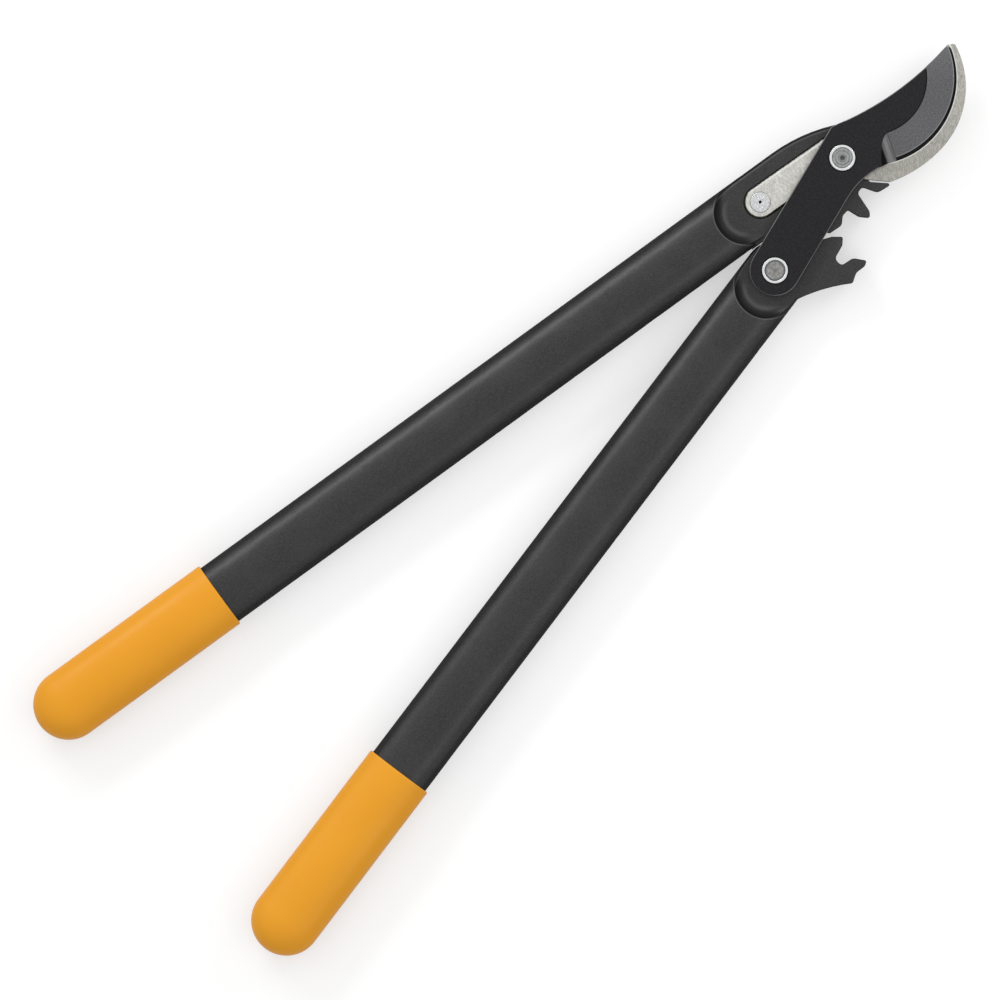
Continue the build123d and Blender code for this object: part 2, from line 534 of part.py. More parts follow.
with BuildPart() as blade:
    with BuildSketch(Plane.XY.offset(BLADE_BACK)) as blade_outline:
        with BuildLine():
            edge = CenterArc(CUT_CENTRE, CUT_RADIUS, CUT_TIP_ANGLE, CUT_HEEL_ANGLE - CUT_TIP_ANGLE)
            TangentArc(blade_waist, edge @ 1, tangent=blade_run)
            Line(blade_waist, GEAR_PIVOT - blade_side)
            ThreePointArc(
                GEAR_PIVOT - blade_side,
                GEAR_PIVOT - blade_run * BLADE_HALF_WIDTH,
                GEAR_PIVOT + blade_side,
            )
            Line(GEAR_PIVOT + blade_side, blade_shoulder)
            RadiusArc(blade_shoulder, edge @ 0, -BLADE_SPINE_RADIUS)
        make_face()
        fillet(blade_outline.vertices().sort_by_distance(blade_shoulder)[0], BLADE_SHOULDER_ROUNDING)
        fillet(blade_outline.vertices().sort_by_distance(edge @ 0)[0], CUT_TIP_ROUND)
    extrude(amount=BLADE_THICKNESS)
    chamfer(blade.faces().sort_by(Axis.Z)[-1].edges(), BLADE_EDGE)
    grind_end = polar((0, 0), 1, GRIND_END_ANGLE)
    grind_plane = Plane(
        (CUT_CENTRE.X, CUT_CENTRE.Y, BLADE_BACK), x_dir=grind_end, z_dir=grind_end.cross(Vector(0, 0, 1))
    )
    with BuildSketch(grind_plane):
        Polygon(
            (bevel_start, BLADE_THICKNESS),
            (hone_start, HONE_HEIGHT),
            (CUT_RADIUS, CUT_LAND),
            (CUT_RADIUS + GRIND_CLEAR, CUT_LAND),
            (CUT_RADIUS + GRIND_CLEAR, BLADE_THICKNESS + GRIND_CLEAR),
            (bevel_start, BLADE_THICKNESS + GRIND_CLEAR),
            align=None,
        )
    revolve(axis=Axis(CUT_CENTRE, (0, 0, 1)), revolution_arc=GRIND_SWEEP, mode=Mode.SUBTRACT)
    slope = Vector(hone_start - bevel_start, HONE_HEIGHT - BLADE_THICKNESS).normalized()
    wheel_run = grind_plane.from_local_coords(slope) - grind_plane.origin
    wheel_start = grind_plane.from_local_coords(
        Vector(bevel_start, BLADE_THICKNESS) - slope * GRIND_CLEAR + Vector(-slope.Y, slope.X) * GRIND_WHEEL
    )
    with BuildSketch(Plane(wheel_start, x_dir=grind_plane.z_dir, z_dir=wheel_run)):
        Circle(GRIND_WHEEL)
    extrude(amount=BEVEL_WIDTH + 2 * GRIND_CLEAR, mode=Mode.SUBTRACT)
    round_cut(MAIN_PIVOT, PIN_BORE, BLADE_BACK, BLADE_FRONT)
    round_cut(GEAR_PIVOT, PIN_RADIUS + SEAT_CLEARANCE, BLADE_BACK, BLADE_FRONT)
save(blade, "blade")

# Pivot pins with their rear heads, bright front rings and rear washers
for name, pivot in (("main_pivot", MAIN_PIVOT), ("gear_pivot", GEAR_PIVOT)):
    with BuildPart() as pin:
        disc(pivot, PIN_HEAD_RADIUS, 0, PIN_HEAD_HEIGHT)
        chamfer(pin.edges().sort_by(Axis.Z)[0], PIN_HEAD_EDGE)
        disc(pivot, PIN_RADIUS, PIN_HEAD_HEIGHT, PIN_TOP)
        chamfer(pin.edges().sort_by(Axis.Z)[-1], PIN_EDGE)
    save(pin, f"{name}_pin")

    with BuildPart() as ring:
        disc(pivot, RING_RADIUS, RING_FOOT, BLADE_FRONT + RING_HEIGHT, PIN_RADIUS + SEAT_CLEARANCE)
        fillet(ring.edges().group_by(Axis.Z)[-1], RING_ROUND)
    save(ring, f"{name}_ring")

    with BuildPart() as washer:
        disc(pivot, WASHER_RADIUS, PIN_HEAD_HEIGHT, WASHER_TOP, PIN_RADIUS + SEAT_CLEARANCE)
    save(washer, f"{name}_washer")

# Steel sleeve that the main pin clamps, and the bush and slip washer that the lower head turns with
with BuildPart() as main_pivot_sleeve:
    disc(MAIN_PIVOT, SLEEVE_RADIUS, WASHER_TOP, POCKET_FLOOR, PIN_BORE)
save(main_pivot_sleeve, "main_pivot_sleeve")

with BuildPart() as gear_pivot_bush:
    disc(GEAR_PIVOT, SLEEVE_RADIUS, BOSS_FACE, THRUST_SEAT, PIN_BORE)
save(gear_pivot_bush, "gear_pivot_bush")

with BuildPart() as gear_thrust_washer:
    disc(GEAR_PIVOT, THRUST_WASHER_RADIUS, THRUST_SEAT, THRUST_SEAT + THRUST_WASHER_THICKNESS, PIN_BORE)
save(gear_thrust_washer, "gear_thrust_washer")

# Rivet through the hook's arm, with a centre dimple, and the washer under its closed end
with BuildPart() as hook_rivet:
    disc(HOOK_RIVET, RIVET_TAIL_RADIUS, RIVET_TAIL_FACE, RIVET_TAIL_FACE + RIVET_TAIL_HEIGHT)
    fillet(hook_rivet.edges().sort_by(Axis.Z)[0], RIVET_TAIL_HEIGHT / 2)
    disc(HOOK_RIVET, RIVET_SHANK, RIVET_TAIL_FACE + RIVET_TAIL_HEIGHT, RIVET_SEAT)
    disc(HOOK_RIVET, RIVET_HEAD_RADIUS, RIVET_SEAT, RIVET_SEAT + RIVET_HEAD_HEIGHT)
    fillet(hook_rivet.edges().sort_by(Axis.Z)[-1], PIN_EDGE)
    round_cut(HOOK_RIVET, RIVET_DIMPLE, FLAT_FRONT, RIVET_SEAT + RIVET_HEAD_HEIGHT)
save(hook_rivet, "hook_rivet")

with BuildPart() as hook_rivet_washer:
    washer_foot = FLAT_REAR - WASHER_THICKNESS
    disc(HOOK_RIVET, RIVET_WASHER_RADIUS, washer_foot, FLAT_REAR, RIVET_SHANK + SEAT_CLEARANCE)
save(hook_rivet_washer, "hook_rivet_washer")
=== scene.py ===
# %% [markdown]
# Dressing a geared lopper
#
# The tool lies flat on a pale table, shut, and is seen from straight above. Its solids come from the
# CAD frame and stay where they are. This lesson gives each of them its finish, and remakes the grips,
# pins, rings and rivet as finer surfaces, because those are the pieces that a hand or an eye meets.
# Lengths are metres. +X points to the blade's tip, +Y to the upper handle and +Z to the viewer.

import bpy
import numpy as np
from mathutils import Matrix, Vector


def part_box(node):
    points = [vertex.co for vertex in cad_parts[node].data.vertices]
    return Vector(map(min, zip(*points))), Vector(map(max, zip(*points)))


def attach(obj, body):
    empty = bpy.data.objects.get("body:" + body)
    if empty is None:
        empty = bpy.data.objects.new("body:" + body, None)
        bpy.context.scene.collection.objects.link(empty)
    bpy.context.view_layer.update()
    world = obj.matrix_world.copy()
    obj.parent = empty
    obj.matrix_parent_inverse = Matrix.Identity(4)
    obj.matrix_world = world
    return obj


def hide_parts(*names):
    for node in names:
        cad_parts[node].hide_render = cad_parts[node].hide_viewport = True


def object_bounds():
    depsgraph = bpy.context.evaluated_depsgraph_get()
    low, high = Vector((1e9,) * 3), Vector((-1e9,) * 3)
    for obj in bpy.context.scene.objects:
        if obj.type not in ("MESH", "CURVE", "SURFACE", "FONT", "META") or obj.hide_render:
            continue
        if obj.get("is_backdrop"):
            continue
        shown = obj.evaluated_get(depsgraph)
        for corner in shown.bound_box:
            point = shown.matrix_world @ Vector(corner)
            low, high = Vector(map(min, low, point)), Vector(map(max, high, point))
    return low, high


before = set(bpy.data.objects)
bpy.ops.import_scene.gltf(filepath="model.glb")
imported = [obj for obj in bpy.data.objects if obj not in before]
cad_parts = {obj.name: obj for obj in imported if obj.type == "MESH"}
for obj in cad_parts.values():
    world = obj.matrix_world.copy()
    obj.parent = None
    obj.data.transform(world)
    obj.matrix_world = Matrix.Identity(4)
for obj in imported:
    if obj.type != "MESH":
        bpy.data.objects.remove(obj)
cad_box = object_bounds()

MM = 0.001
TURN = 2 * np.pi

# %% [markdown]
# Measuring the frame
#
# Everything new has to sit exactly where a CAD piece sits, so places and outer sizes are read from that
# piece. A node's place is in its vertices. The helpers below fetch those vertices as one array and
# measure them, along a handle's axis or round a pivot. A few sizes that a box doesn't tell, such as the
# radius of a scoop, are typed with the value that they have in the CAD.

# %% Measure the nodes
def node_points(name):
    """All vertices of a CAD node, as an array of rows x, y, z."""
    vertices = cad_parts[name].data.vertices
    flat = np.empty(3 * len(vertices), np.float32)
    vertices.foreach_get("co", flat)
    return flat.reshape(-1, 3).astype(float)


def middle(name):
    """Centre of a node's box."""
    low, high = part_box(name)
    return (np.array(low) + np.array(high)) / 2


def spokes(name):
    """Distance of each of a turned node's points from its axis."""
    return np.hypot(*(node_points(name)[:, :2] - middle(name)[:2]).T)


def radius_between(name, low, high):
    """Largest distance from a turned node's axis, of its points between two levels."""
    heights = node_points(name)[:, 2]
    return spokes(name)[(heights >= low) & (heights <= high)].max()


MAIN_PIVOT = middle("main_pivot_pin")
GEAR_PIVOT = middle("gear_pivot_pin")
HOOK_RIVET = middle("hook_rivet")
print("pivots are", round(float(np.linalg.norm(MAIN_PIVOT - GEAR_PIVOT)) / MM, 2), "mm apart")

# %% [markdown]
# Surfaces from arrays
#
# Each new piece is a grid of points: one index runs along a profile and the other runs round it. A mesh
# could also be drawn with bmesh operators, but a formula gives the same smooth shape at any density and
# is easy to read back. Rows are closed loops. The first and last rows can shrink to a pole, which is
# one shared vertex, or the rows can close on themselves like a tyre.

# %% Turn a grid into a mesh
def grid_mesh(name, rows, poles=None, sharp_degrees=40):
    """Mesh over a grid of closed loops.

    rows has the shape (loops, points round, 3), and goes so that the outside is to the right of a walk
    along the profile. With poles, the pair of end points closes the ends. Without, the last loop joins
    the first.
    """
    loops, around = rows.shape[:2]
    here = np.arange(loops * around).reshape(loops, around)
    after = np.roll(here, -1, axis=1)
    if poles is None:
        lower, upper = here, np.roll(here, -1, axis=0)
        lower_after, upper_after = after, np.roll(after, -1, axis=0)
    else:
        lower, upper, lower_after, upper_after = here[:-1], here[1:], after[:-1], after[1:]
    quads = np.stack([lower, lower_after, upper_after, upper], axis=-1).reshape(-1, 4)
    faces = quads.tolist()
    points = rows.reshape(-1, 3)
    if poles is not None:
        first, last = loops * around, loops * around + 1
        points = np.vstack([points, poles])
        start_fan = np.stack([np.full(around, first), after[0], here[0]], axis=-1)
        end_fan = np.stack([np.full(around, last), here[-1], after[-1]], axis=-1)
        faces = faces + start_fan.tolist() + end_fan.tolist()
    mesh = bpy.data.meshes.new(name)
    mesh.from_pydata(points, [], faces)
    mesh.shade_smooth()
    mesh.set_sharp_from_angle(angle=np.radians(sharp_degrees))
    piece = bpy.data.objects.new(name, mesh)
    bpy.context.scene.collection.objects.link(piece)
    return piece


def stand_for(piece, node, body):
    """Ride a new piece on a body, in place of the CAD node that it finishes."""
    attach(piece, body)
    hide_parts(node)
    print(f"{piece.name}: {len(piece.data.polygons)} faces on {body}")


def arc(centre, radius, start, end, steps=8):
    """Points of an arc in a profile, with angles in degrees, both ends included."""
    angles = np.radians(np.linspace(start, end, steps))
    return np.stack([centre[0] + radius * np.cos(angles), centre[1] + radius * np.sin(angles)], axis=-1)


# %% [markdown]
# Grips
#
# The grips are soft orange sleeves pushed over the handle ends. Across, a grip is an oval. Along, it
# is straight, with a small round lip at the open rim, and it ends in half a flattened ball. So one
# formula makes it: an oval whose scale follows a profile. The profile starts at the floor of the bore,
# comes out along the wall, turns over the rim, runs down the outside and shrinks to the end's pole.

# %% Carry an oval along each handle
HANDLE_TILT = np.radians(8.44)
GRIP_RIM_ROUND = 0.9 * MM
GRIP_WALL = 1.5 * MM
AROUND_GRIP = 192
SLEEVE_STEPS = 90
LIP_STEPS = 17
END_STEPS = 40


def plan_axes(tilt):
    """Unit vectors along and across a direction in plan, such as a handle's towards its head."""
    return np.array([np.cos(tilt), np.sin(tilt), 0]), np.array([-np.sin(tilt), np.cos(tilt), 0])


def axis_side(grip, across):
    """How far across a handle's axis lies: the middle of its grip."""
    spread = node_points(grip) @ across
    return (spread.min() + spread.max()) / 2


def grip_surface(node, tilt):
    """Grid and poles of a grip. A point is axis + along * forward + oval(angle) * scale."""
    forward, across = plan_axes(tilt)
    up = np.array([0, 0, 1])
    points = node_points(node)
    centre_level = middle(node)[2]
    side = axis_side(node, across)
    half_width = np.ptp(points @ across) / 2
    half_height = np.ptp(points[:, 2]) / 2
    rim = (points @ forward).max()
    end_start = (points @ forward).min() + half_width

    # The wall, in rows of place along the handle and height over the outside
    inner = np.linspace([end_start, -GRIP_WALL], [rim - GRIP_RIM_ROUND, -GRIP_WALL], SLEEVE_STEPS)
    turn_over = np.linspace(0, np.pi, LIP_STEPS)
    lip = np.stack([
        rim - GRIP_RIM_ROUND * (1 - np.sin(turn_over)),
        -GRIP_WALL / 2 * (1 + np.cos(turn_over)),
    ], axis=-1)
    outer = np.linspace([rim - GRIP_RIM_ROUND, 0], [end_start, 0], SLEEVE_STEPS)
    wall = np.vstack([inner[:-1], lip, outer[1:]])
    swing = np.linspace(0, np.pi / 2, END_STEPS)[1:-1]

    along = np.concatenate([wall[:, 0], end_start - half_width * np.sin(swing)])
    wide = np.concatenate([half_width + wall[:, 1], half_width * np.cos(swing)])
    high = np.concatenate([half_height + wall[:, 1], half_height * np.cos(swing)])

    angle = np.linspace(0, TURN, AROUND_GRIP, endpoint=False)
    oval_side = side + wide[:, None] * np.cos(angle)
    oval_up = centre_level + high[:, None] * np.sin(angle)
    rows = along[:, None, None] * forward + oval_side[..., None] * across + oval_up[..., None] * up
    axis_point = side * across + centre_level * up
    poles = np.array([end_start * forward, (end_start - half_width) * forward]) + axis_point
    return rows[:, ::-1], poles


grips = {}
for node, tilt, body in (
    ("upper_grip", -HANDLE_TILT, "upper_arm"),
    ("lower_grip", HANDLE_TILT, "lower_arm"),
):
    grips[node] = grid_mesh(node + "_sleeve", *grip_surface(node, tilt))
    stand_for(grips[node], node, body)

# %% [markdown]
# Pins, rings and rivet
#
# These were turned on a lathe, so they are made as on a lathe: a profile of radius and height is
# carried round an axis. The main pin's face keeps the fine steps of the turning tool. The gear pin's
# face was spun flat by a riveting tool and is a shallow dish. The rivet's head has a centre dimple and
# nicks from its setting die, so there the height also depends on the angle.

# %% Turn profiles round their axes
AROUND_PIN = 144
EDGE_STEPS = 6
PIN_EDGE = 0.35 * MM
PIN_FACE_LOOPS = 60
ON_RADIUS = 0.02 * MM  # points as near as this to a radius count as on it


def lathe(name, axis, profile, relief=None, closed=False):
    """Surface of revolution of profile rows (radius, height).

    relief(radius, angle, height) gives a height to add. A closed profile joins its own start, and any
    other one begins and ends at a pole on the axis.
    """
    angle = np.linspace(0, TURN, AROUND_PIN, endpoint=False)
    ring = profile if closed else profile[1:-1]
    radius, height = ring[:, 0, None], ring[:, 1, None]
    lift = relief(radius, angle, height) if relief else 0
    rows = np.stack(np.broadcast_arrays(
        axis[0] + radius * np.cos(angle), axis[1] + radius * np.sin(angle), height + lift), axis=-1)
    poles = None if closed else np.array([[*axis[:2], profile[0, 1]], [*axis[:2], profile[-1, 1]]])
    return grid_mesh(name, rows, poles)


def pin_profile(node, face):
    """Rear head, shank and front face of a pivot pin. face(radius share) gives the face's depth."""
    low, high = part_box(node)
    foot, top = low[2], high[2]
    head_radius = (high[0] - low[0]) / 2
    head_round = 2 * PIN_EDGE
    on_head = np.isclose(spokes(node), head_radius, atol=ON_RADIUS)
    head_top = node_points(node)[on_head, 2].max()
    shank = radius_between(node, (foot + top) / 2, top)
    head = np.vstack([
        [[0, foot]],
        arc((head_radius - head_round, foot + head_round), head_round, -90, 0),
        [[head_radius, head_top], [shank, head_top], [shank, top - PIN_EDGE]],
        arc((shank - PIN_EDGE, top - PIN_EDGE), PIN_EDGE, 10, 90, EDGE_STEPS),
    ])
    share = np.linspace(1, 0, PIN_FACE_LOOPS)[1:]
    front = np.stack([(shank - PIN_EDGE) * share, top - face(share)], axis=-1)
    return np.vstack([head, front])


# %% Faces of the two pins
TURNED_DEPTH = 0.09 * MM
TURNED_STEPS = 3.2
TURNED_FADE = 6  # how steeply the ridges fade towards the rim
DISH_DEPTH = 0.22 * MM


def turned_face(share):
    """Depth of the main pin's face: smooth ridges left by the tool, fading out at the rim."""
    ridges = 0.5 - 0.5 * np.cos(TURN * TURNED_STEPS * share)
    return TURNED_DEPTH * ridges * np.minimum(1, TURNED_FADE * (1 - share))


def dished_face(share):
    """Depth of the gear pin's face: a shallow dish, deepest in the middle."""
    return DISH_DEPTH * (1 - share**2) ** 1.5


for node, body, face in (
    ("main_pivot_pin", "upper_arm", turned_face),
    ("gear_pivot_pin", "cutter", dished_face),
):
    pin = lathe(node + "_turned", middle(node), pin_profile(node, face))
    stand_for(pin, node, body)

# %% Round collars over the blade
COLLAR_STEPS = 25
COLLAR_SQUARENESS = 0.4

for node, body in (("main_pivot_ring", "upper_arm"), ("gear_pivot_ring", "cutter")):
    low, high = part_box(node)
    outside = (high[0] - low[0]) / 2
    bore = spokes(node).min()
    band = (outside - bore) / 2
    crown = high[2] - low[2]
    # Half an oval over a flat foot. The small power squares up its cosine and sine.
    swing = np.linspace(0, np.pi, COLLAR_STEPS)
    reach = np.sign(np.cos(swing)) * np.abs(np.cos(swing)) ** COLLAR_SQUARENESS
    rise = np.sin(swing) ** COLLAR_SQUARENESS
    section = np.stack([(outside + bore) / 2 + band * reach, low[2] + crown * rise], axis=-1)
    collar = lathe(node + "_collar", middle(node), section, closed=True)
    stand_for(collar, node, body)

# %% Rivet with a struck head
TAIL_ROUND = 0.8 * MM
HEAD_ROUND = 0.3 * MM
RIVET_FACE_LOOPS = 70
DIMPLE_RADIUS = 0.9 * MM
DIMPLE_DEPTH = 1.0 * MM
NICK_DEPTH = 0.16 * MM
NICKS = 26
NICK_BEAT = 7  # a second wave round the head that drops some of the nicks
NICK_MIDDLE = 0.55  # share of the head's radius
NICK_SPREAD = 0.22
FACE_SLACK = 0.05 * MM
LEVEL_SLACK = 0.01 * MM


def rivet_profile(node):
    """Rounded tail, shank, and a flat head with a soft edge and a centre dimple."""
    low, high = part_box(node)
    heights, reach = node_points(node)[:, 2], spokes(node)
    tail_radius = (high[0] - low[0]) / 2
    middle_level = (low[2] + high[2]) / 2
    head_radius = radius_between(node, middle_level, high[2])
    tail_top = heights[np.isclose(reach, tail_radius, atol=ON_RADIUS)].max()
    on_head = np.isclose(reach, head_radius, atol=ON_RADIUS) & (heights > middle_level)
    head_foot = heights[on_head].min()
    shank = reach[(heights > tail_top) & (heights < head_foot + LEVEL_SLACK)].min()
    face_radius = (head_radius - HEAD_ROUND) * np.linspace(1, 0, RIVET_FACE_LOOPS)[1:]
    hollow = DIMPLE_DEPTH * np.exp(-((face_radius / DIMPLE_RADIUS) ** 4))
    return np.vstack([
        [[0, low[2]]],
        arc((tail_radius - TAIL_ROUND, low[2] + TAIL_ROUND), TAIL_ROUND, -90, 0),
        [[tail_radius, tail_top], [shank, tail_top], [shank, head_foot], [head_radius, head_foot]],
        arc((head_radius - HEAD_ROUND, high[2] - HEAD_ROUND), HEAD_ROUND, 0, 90, EDGE_STEPS),
        np.stack([face_radius, high[2] - hollow], axis=-1),
    ])


def struck(radius, angle, height):
    """Sinks short radial nicks into the head: narrow in angle, and strongest halfway out."""
    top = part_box("hook_rivet")[1][2]
    outward = np.exp(-(((radius / radius.max()) - NICK_MIDDLE) / NICK_SPREAD) ** 2)
    on_face = height > top - FACE_SLACK
    narrow = np.clip(np.cos(NICKS / 2 * angle) ** 2 * np.cos(NICK_BEAT * angle + 1) ** 2, 0, 1) ** 4
    return -NICK_DEPTH * outward * on_face * narrow


rivet = lathe("hook_rivet_struck", HOOK_RIVET, rivet_profile("hook_rivet"), relief=struck)
stand_for(rivet, "hook_rivet", "upper_arm")

# %% [markdown]
# Finishes
#
# A finish is a small network of shader nodes. Effects that several finishes share are built once, as
# node groups with named sockets: the spark-eroded grain of moulded plastic, the grain of ground or
# brushed steel, and the faint marks of handling. Each material places them with its own values. A value
# that is the same all over a piece is set on the shader itself.

# %% Helpers for node networks
def linear(red, green, blue):
    """Colour as it reads on a screen, 0 to 255, as the linear colour that shaders use."""
    screen = np.array([red, green, blue]) / 255
    return (*np.where(screen <= 0.04045, screen / 12.92, ((screen + 0.055) / 1.055) ** 2.4), 1.0)


class Network:
    """Adds nodes to a tree. add gives a node, link joins two sockets, and the rest give output sockets."""

    def __init__(self, tree):
        self.tree = tree

    def add(self, kind, settings=None, **inputs):
        """New node with settings. Inputs are sockets to link or plain values, by name or as in_NUMBER."""
        node = self.tree.nodes.new("ShaderNode" + kind)
        for key, value in (settings or {}).items():
            setattr(node, key, value)
        for key, value in inputs.items():
            name = key.replace("_", " ")
            slots = [slot for slot in node.inputs if slot.name == name and slot.enabled]
            slot = slots[0] if slots else node.inputs[int(name.split()[-1])]
            if isinstance(value, bpy.types.NodeSocket):
                self.link(value, slot)
            else:
                slot.default_value = value
        return node

    def link(self, value, slot):
        self.tree.links.new(value, slot)

    def math(self, operation, first, second=0.0, third=0.0):
        node = self.add("Math", {"operation": operation}, in_0=first, in_1=second, in_2=third)
        return node.outputs[0]

    def product(self, first, *others):
        for other in others:
            first = self.math("MULTIPLY", first, other)
        return first

    def inverse(self, share):
        return self.math("SUBTRACT", 1.0, share)

    def ramp(self, value, low, high, to_low=0.0, to_high=1.0):
        """Smooth step between two values."""
        node = self.add("MapRange", {"interpolation_type": "SMOOTHSTEP"}, Value=value, From_Min=low,
                        From_Max=high, To_Min=to_low, To_Max=to_high)
        return node.outputs["Result"]

    def fade(self, value, low, high):
        """Smooth step from 1 down to 0."""
        return self.ramp(value, low, high, 1.0, 0.0)

    def band(self, value, start, full, fade, end):
        """Smooth step up to 1 and down again."""
        return self.product(self.ramp(value, start, full), self.fade(value, fade, end))

    def mix(self, share, first, second):
        """Blend of two colours."""
        node = self.add("Mix", {"data_type": "RGBA"}, Factor=share, A=first, B=second)
        return node.outputs["Result"]

    def blend(self, share, first, second):
        """Blend of two values."""
        return self.add("Mix", {"data_type": "FLOAT"}, Factor=share, A=first, B=second).outputs[0]

    def axes(self, place):
        """Coordinates of a place, by name."""
        return self.add("SeparateXYZ", None, Vector=place).outputs

    def offset(self, axes, centre):
        """Steps in x and y from a centre in plan."""
        return self.math("SUBTRACT", axes["X"], centre[0]), self.math("SUBTRACT", axes["Y"], centre[1])

    def dot(self, x, y, direction):
        """How far two coordinates reach along a direction."""
        return self.math("MULTIPLY_ADD", x, direction[0], self.math("MULTIPLY", y, direction[1]))

    def length(self, x, y):
        return self.math("SQRT", self.math("MULTIPLY_ADD", x, x, self.math("MULTIPLY", y, y)))


# %% Helpers for groups and materials
def node_group(name, inputs, outputs):
    """Empty shader group with float or vector inputs and float outputs."""
    tree = bpy.data.node_groups.new(name, "ShaderNodeTree")
    for label, kind, value in inputs:
        socket = tree.interface.new_socket(label, in_out="INPUT", socket_type="NodeSocket" + kind)
        socket.default_value = value
    for label in outputs:
        tree.interface.new_socket(label, in_out="OUTPUT", socket_type="NodeSocketFloat")
    entry = tree.nodes.new("NodeGroupInput")
    end = tree.nodes.new("NodeGroupOutput")
    return Network(tree), entry.outputs, end.inputs


def finish(name, **plain):
    """New material. Returns it, its network, its shader and its Object coordinates."""
    material = bpy.data.materials.new(name)
    material.use_nodes = True
    net = Network(material.node_tree)
    shader = material.node_tree.nodes["Principled BSDF"]
    for key, value in plain.items():
        shader.inputs[key.replace("_", " ")].default_value = value
    place = net.add("TexCoord").outputs["Object"]
    return material, net, shader, place


def place_group(net, tree_name, **inputs):
    """Places a shared group in a material."""
    node = net.add("Group", {"node_tree": bpy.data.node_groups[tree_name]}, **inputs)
    return node.outputs


def bump(net, shader, height, strength, depth):
    """Feeds a height into the shader's normal."""
    node = net.add("Bump", None, Height=height, Strength=strength, Distance=depth)
    net.link(node.outputs["Normal"], shader.inputs["Normal"])


# %% Shared grain of moulded plastic
net, given, put = node_group(
    "moulded_grain",
    [("Place", "Vector", (0, 0, 0)), ("Fineness", "Float", 1500.0)],
    ["Height", "Fleck"],
)
fine = net.add("TexNoise", None, Vector=given["Place"], Scale=given["Fineness"], Detail=3.0, Roughness=0.6)
broad_scale = net.math("MULTIPLY", given["Fineness"], 0.35)
pits = net.add("TexVoronoi", None, Vector=given["Place"], Scale=broad_scale)
net.link(net.math("MULTIPLY_ADD", pits.outputs["Distance"], 0.55, fine.outputs[0]), put["Height"])
net.link(net.ramp(fine.outputs[0], 0.38, 0.66), put["Fleck"])

# %% Shared marks of handling
net, given, put = node_group(
    "handling_marks",
    [("Place", "Vector", (0, 0, 0)), ("Spread", "Float", 30.0)],
    ["Smudge", "Drift"],
)
wide = net.add("TexNoise", None, Vector=given["Place"], Scale=given["Spread"], Detail=4.0, Roughness=0.55)
slow_scale = net.math("MULTIPLY", given["Spread"], 0.2)
slow = net.add("TexNoise", None, Vector=given["Place"], Scale=slow_scale, Detail=1.0)
net.link(net.ramp(wide.outputs[0], 0.4, 0.7), put["Smudge"])
net.link(net.ramp(slow.outputs[0], 0.3, 0.7), put["Drift"])

# %% Shared grain of ground steel
net, given, put = node_group(
    "ground_grain",
    [("Lines", "Vector", (0, 0, 0)), ("Fineness", "Float", 1.0)],
    ["Line", "Mottle"],
)
drawn = net.add("TexNoise", None, Vector=given["Lines"], Scale=given["Fineness"], Detail=5.0, Roughness=0.7)
spot_scale = net.math("MULTIPLY", given["Fineness"], 0.3)
spots = net.add("TexNoise", None, Vector=given["Lines"], Scale=spot_scale, Detail=3.0, Roughness=0.6)
net.link(net.ramp(drawn.outputs[0], 0.3, 0.7), put["Line"])
net.link(net.ramp(spots.outputs[0], 0.35, 0.68), put["Mottle"])
print("groups:", [group.name for group in bpy.data.node_groups])

# %% [markdown]
# Handles and grips
#
# The handles are glass-filled plastic, charcoal, with a fine matt grain. Hands have rubbed their upper and
# lower faces to a soft sheen, which catches a band of light along each tube, and the steep flanks stay
# matt. So the sheen is a coat whose weight follows the surface normal, and the steep flanks are also
# painted darker, as shade. Where a tube runs out into its flat head there is a round scoop. Its foot has a
# painted highlight, its wall painted shade and its rim a painted highlight line, and all three follow the
# distance from the scoop's centre. The upper head's outer edge is a long arc, the brow, with a thin painted
# highlight along its border and painted shade on the flank below. The grips are a softer, smoother orange,
# with the same low sheen all over.

# %% Where the scoops are
SCOOP_BACK = 10.5 * MM
SCOOP_RADIUS = 20.0 * MM
# How deep inside the rim each mark starts, is full, fades and ends
# The foot and rim marks are painted highlights, and the wall mark is painted shade
FOOT_MARK = (9.0 * MM, 6.4 * MM, 6.4 * MM, 4.4 * MM)
WALL_MARK = (6.0 * MM, 3.2 * MM, 0.3 * MM, 0.0)
RIM_MARK = (0.3 * MM, 0.0, -0.5 * MM, -0.9 * MM)
# How far from the centre, along the handle, the marks fade out towards the head
MARKS_FADE = (-12 * MM, -4 * MM)


def scoop_place(pivot, grip, tilt):
    """Centre of a scoop, on the handle's axis behind a pivot, and the axis's direction."""
    forward, across = plan_axes(tilt)
    return (pivot @ forward - SCOOP_BACK) * forward + axis_side(grip, across) * across, forward


scoops = [
    scoop_place(HOOK_RIVET, "upper_grip", -HANDLE_TILT),
    scoop_place(GEAR_PIVOT, "lower_grip", HANDLE_TILT),
]
print("scoop centres in mm:", [np.round(centre[:2] / MM, 1).tolist() for centre, _ in scoops])


def scoop_masks(net, axes):
    """Painted highlight on a scoop's foot, shade on its wall and highlight on its rim, each 0 to 1."""
    masks = [0.0, 0.0, 0.0]
    for centre, forward in scoops:
        x, y = net.offset(axes, centre)
        reach = net.length(x, y)
        behind = net.fade(net.dot(x, y, forward), *MARKS_FADE)
        for index, mark in enumerate((FOOT_MARK, WALL_MARK, RIM_MARK)):
            ring = net.band(reach, *(SCOOP_RADIUS - depth for depth in mark))
            masks[index] = net.math("MULTIPLY_ADD", ring, behind, masks[index])
    return masks


# %% Where the upper head's outer edge runs
TUBE_HALF = 19.95 * MM
BROW_RADIUS = 105.0 * MM
NOSE_RADIUS = 20.8 * MM
BORDER_START, BORDER_FULL = BROW_RADIUS - 2.7 * MM, BROW_RADIUS - 2.2 * MM
HEAD_FROM_X = (-82 * MM, -66 * MM)
OUTER_FROM_Y = (8 * MM, 12 * MM)


